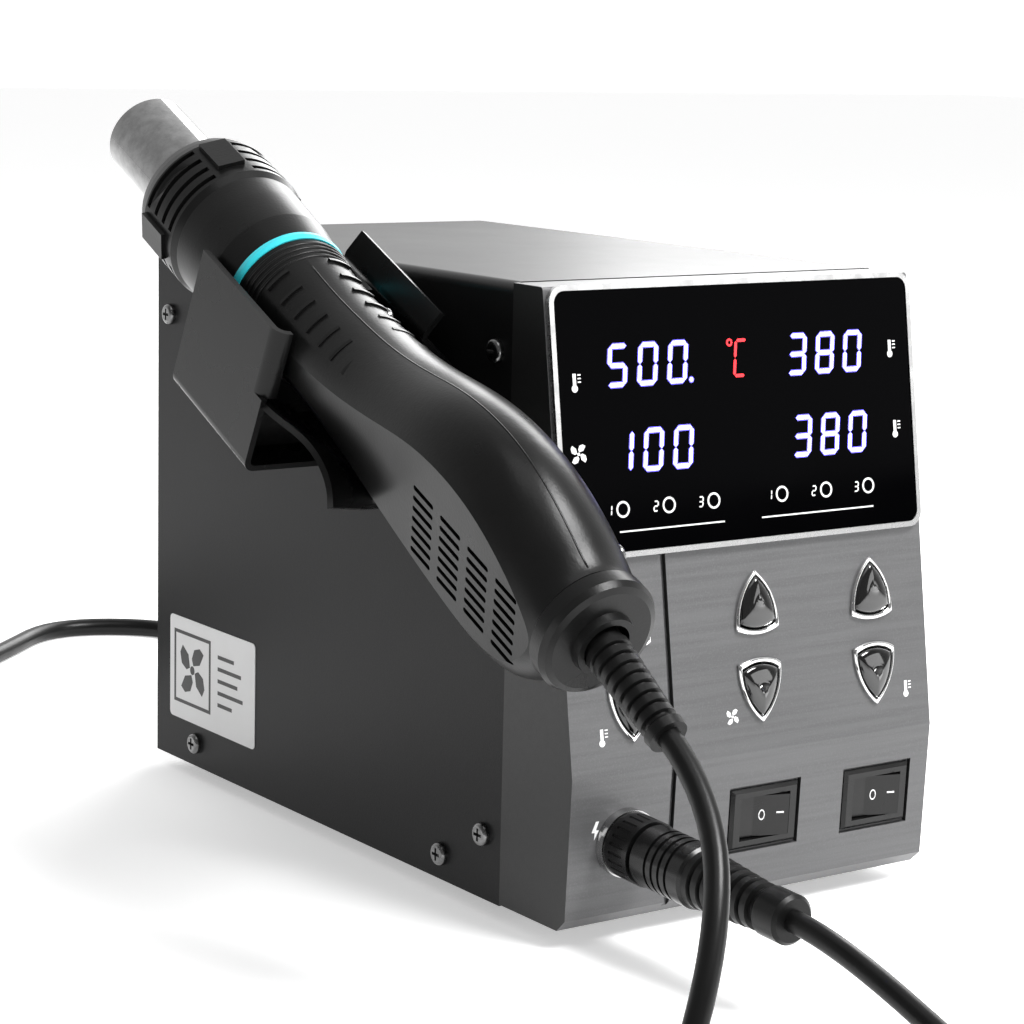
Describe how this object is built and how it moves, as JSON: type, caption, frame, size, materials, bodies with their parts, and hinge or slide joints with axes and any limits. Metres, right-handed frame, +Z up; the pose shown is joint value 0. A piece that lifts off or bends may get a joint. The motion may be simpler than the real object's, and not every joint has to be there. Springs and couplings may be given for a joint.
{
  "type": "hot air station",
  "caption": "Bench-top hot air rework station: box case with sloping display panel, shield-shaped buttons, rocker switches and a blower gun in a side cradle.",
  "frame": {"origin": "on the bench, under the middle of the box round case and gun, cords left out", "axes": "+Z up, -Y the way the display faces, +X to the right as seen from the front, with the gun on the -X side"},
  "size_m": [0.2483, 0.5825, 0.1918],
  "materials": {
    "powder_coat": "fine textured matte powder coat",
    "foot_rubber": "matte",
    "screw_steel": "dark zinc",
    "front_plastic": "satin silver grey",
    "silver_trim": "silver",
    "window": "smoked gloss",
    "circuit_board": "solder mask",
    "digit_plastic": "gloss",
    "lamp_lens": "clear",
    "button_chrome": "mirror",
    "button_black": "gloss",
    "switch_black": "satin gloss",
    "socket_nickel": "nickel",
    "plug_black": "satin gloss",
    "soft_black": "satin",
    "tube_steel": "polished steel",
    "gun_black": "satin",
    "band_cyan": "satin",
    "ceramic": "matte ceramic",
    "heater_alloy": "drawn wire",
    "motor_steel": "zinc",
    "fan_plastic": "matte",
    "sticker_film": "satin film",
    "brass_post": "turned",
    "core_iron": "lacquered laminations",
    "winding": "taped",
    "heat_sink_alu": "extruded",
    "capacitor_can": "sleeved"
  },
  "bodies": {
    "station": {"cover": "powder_coat", "chassis": "powder_coat", "rear_panel": "powder_coat", "cradle": "powder_coat", "rubber_feet": "foot_rubber", "case_screws": "screw_steel", "front_moulding": "front_plastic", "display_frame": "silver_trim", "display_window": "window", "display_board": "circuit_board", "digit_modules": "digit_plastic", "unit_module": "digit_plastic", "indicator_lamps": "lamp_lens", "button_rims": "button_chrome", "button_board": "circuit_board", "tact_switches": "switch_black", "switch_bodies": "switch_black", "panel_socket": "socket_nickel", "socket_nut": "socket_nickel", "plug_body": "plug_black", "plug_boot": "soft_black", "side_sticker": "sticker_film", "power_board": "circuit_board", "board_standoffs": "brass_post", "transformer_core": "core_iron", "transformer_winding": "winding", "heat_sink": "heat_sink_alu", "capacitors": "capacitor_can", "fuse_holder": "switch_black", "mains_gland": "soft_black", "gun_lead_upper": "soft_black", "gun_lead_lower": "soft_black", "gun_lead_coil": "soft_black", "mains_cord": "soft_black", "mains_coil": "soft_black", "mains_plug": "soft_black"},
    "gun": {"gun_steel_tube": "tube_steel", "gun_collar": "gun_black", "gun_colour_band": "band_cyan", "gun_shell_outer": "gun_black", "gun_shell_inner": "gun_black", "gun_screws": "screw_steel", "gun_end_cap": "gun_black", "gun_strain_relief": "soft_black", "heater_former": "ceramic", "heater_wire_turns": "heater_alloy", "heat_sensor": "heater_alloy", "blower_motor": "motor_steel", "blower_volute": "fan_plastic", "gun_board": "circuit_board"},
    "blower": {"blower_wheel": "fan_plastic"},
    "gun_rocker": {"gun_power_rocker": "switch_black"},
    "iron_rocker": {"iron_power_rocker": "switch_black"},
    "plug_nut": {"plug_ring": "plug_black"},
    "gun_temp_up": {"gun_temp_up_button": "button_black"},
    "gun_temp_down": {"gun_temp_down_button": "button_black"},
    "air_flow_up": {"air_flow_up_button": "button_black"},
    "air_flow_down": {"air_flow_down_button": "button_black"},
    "iron_temp_up": {"iron_temp_up_button": "button_black"},
    "iron_temp_down": {"iron_temp_down_button": "button_black"}
  },
  "joints": [
    {"name": "gun_lift", "type": "slide", "parent": "station", "child": "gun", "axis": [0, -0.4289, 0.9033], "range_m": [0, 0.045]},
    {"name": "blower_spin", "type": "hinge", "parent": "gun", "child": "blower", "pos_m": [-0.0632, -0.09521, 0.10308], "axis": [0.9703, -0.1038, 0.2185], "continuous": true},
    {"name": "gun_temp_up_press", "type": "slide", "parent": "station", "child": "gun_temp_up", "axis": [0, 0.9893, -0.1461], "range_m": [0, 0.0008], "stiffness_N_per_m": 600, "springref_m": -0.0004},
    {"name": "gun_temp_down_press", "type": "slide", "parent": "station", "child": "gun_temp_down", "axis": [0, 0.9893, -0.1461], "range_m": [0, 0.0008], "stiffness_N_per_m": 600, "springref_m": -0.0004},
    {"name": "air_flow_up_press", "type": "slide", "parent": "station", "child": "air_flow_up", "axis": [0, 0.9893, -0.1461], "range_m": [0, 0.0008], "stiffness_N_per_m": 600, "springref_m": -0.0004},
    {"name": "air_flow_down_press", "type": "slide", "parent": "station", "child": "air_flow_down", "axis": [0, 0.9893, -0.1461], "range_m": [0, 0.0008], "stiffness_N_per_m": 600, "springref_m": -0.0004},
    {"name": "iron_temp_up_press", "type": "slide", "parent": "station", "child": "iron_temp_up", "axis": [0, 0.9893, -0.1461], "range_m": [0, 0.0008], "stiffness_N_per_m": 600, "springref_m": -0.0004},
    {"name": "iron_temp_down_press", "type": "slide", "parent": "station", "child": "iron_temp_down", "axis": [0, 0.9893, -0.1461], "range_m": [0, 0.0008], "stiffness_N_per_m": 600, "springref_m": -0.0004},
    {"name": "gun_rocker_tilt", "type": "hinge", "parent": "station", "child": "gun_rocker", "pos_m": [0.0276, -0.07283, 0.02479], "axis": [0, -0.0401, 0.9992], "range_deg": [0, 24]},
    {"name": "iron_rocker_tilt", "type": "hinge", "parent": "station", "child": "iron_rocker", "pos_m": [0.0638, -0.07283, 0.02479], "axis": [0, -0.0401, 0.9992], "range_deg": [0, 24]},
    {"name": "plug_nut_turn", "type": "hinge", "parent": "station", "child": "plug_nut", "pos_m": [-0.0152, -0.08162, 0.02444], "axis": [0, -0.9992, -0.0401], "range_deg": [0, 360]}
  ]
}
